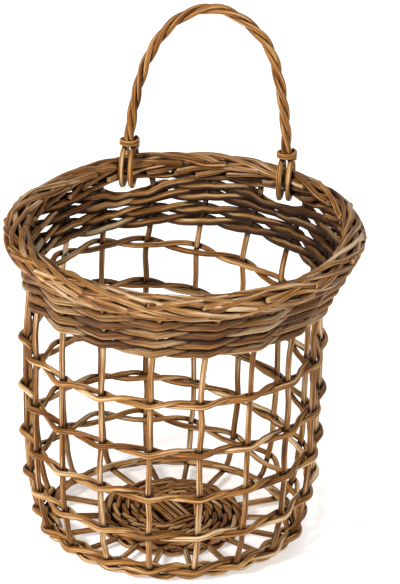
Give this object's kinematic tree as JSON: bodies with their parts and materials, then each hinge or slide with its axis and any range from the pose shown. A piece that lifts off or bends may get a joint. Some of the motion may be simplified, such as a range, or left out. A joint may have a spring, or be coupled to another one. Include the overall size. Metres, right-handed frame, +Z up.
{
  "type": "egg collection basket",
  "caption": "Round woven willow basket with a small close base, an open twined wall, a flared close band, a plaited rim and a twisted carrying loop at the back of the rim.",
  "frame": {"origin": "centre of the base, on the surface that the basket stands on", "axes": "+Z up, +Y towards the side that carries the loop, +X to the right of someone facing the loop from the front"},
  "size_m": [0.279, 0.2792, 0.4029],
  "materials": {
    "base_willow": "semi-gloss",
    "stake_willow": "semi-gloss",
    "weaver_willow": "semi-gloss",
    "loop_willow": "semi-gloss",
    "binding_willow": "semi-gloss"
  },
  "bodies": {
    "basket": {"base_sticks_lower": "base_willow", "base_sticks_upper": "base_willow", "base_round_1": "base_willow", "base_round_2": "base_willow", "base_round_3": "base_willow", "base_round_4": "base_willow", "stake_01": "stake_willow", "stake_02": "stake_willow", "stake_03": "stake_willow", "stake_04": "stake_willow", "stake_05": "stake_willow", "stake_06": "stake_willow", "stake_07": "stake_willow", "stake_08": "stake_willow", "stake_09": "stake_willow", "stake_10": "stake_willow", "stake_11": "stake_willow", "stake_12": "stake_willow", "stake_13": "stake_willow", "stake_14": "stake_willow", "stake_15": "stake_willow", "stake_16": "stake_willow", "stake_17": "stake_willow", "stake_18": "stake_willow", "row_1": "weaver_willow", "row_2": "weaver_willow", "row_3": "weaver_willow", "row_4": "weaver_willow", "row_5": "weaver_willow", "band_round_1": "weaver_willow", "band_round_2": "weaver_willow", "band_round_3": "weaver_willow", "band_round_4": "weaver_willow", "rim_rods": "stake_willow"},
    "loop": {"loop_rod_1": "loop_willow", "loop_rod_2": "loop_willow", "loop_rod_3": "loop_willow", "loop_eye_left": "binding_willow", "loop_eye_right": "binding_willow", "loop_tie_left": "binding_willow", "loop_tie_right": "binding_willow"}
  },
  "joints": [
    {"name": "loop_swing", "type": "hinge", "parent": "basket", "child": "loop", "pos_m": [0, 0.11463, 0.2564], "axis": [1, 0, 0], "range_deg": [-25, 70]}
  ]
}
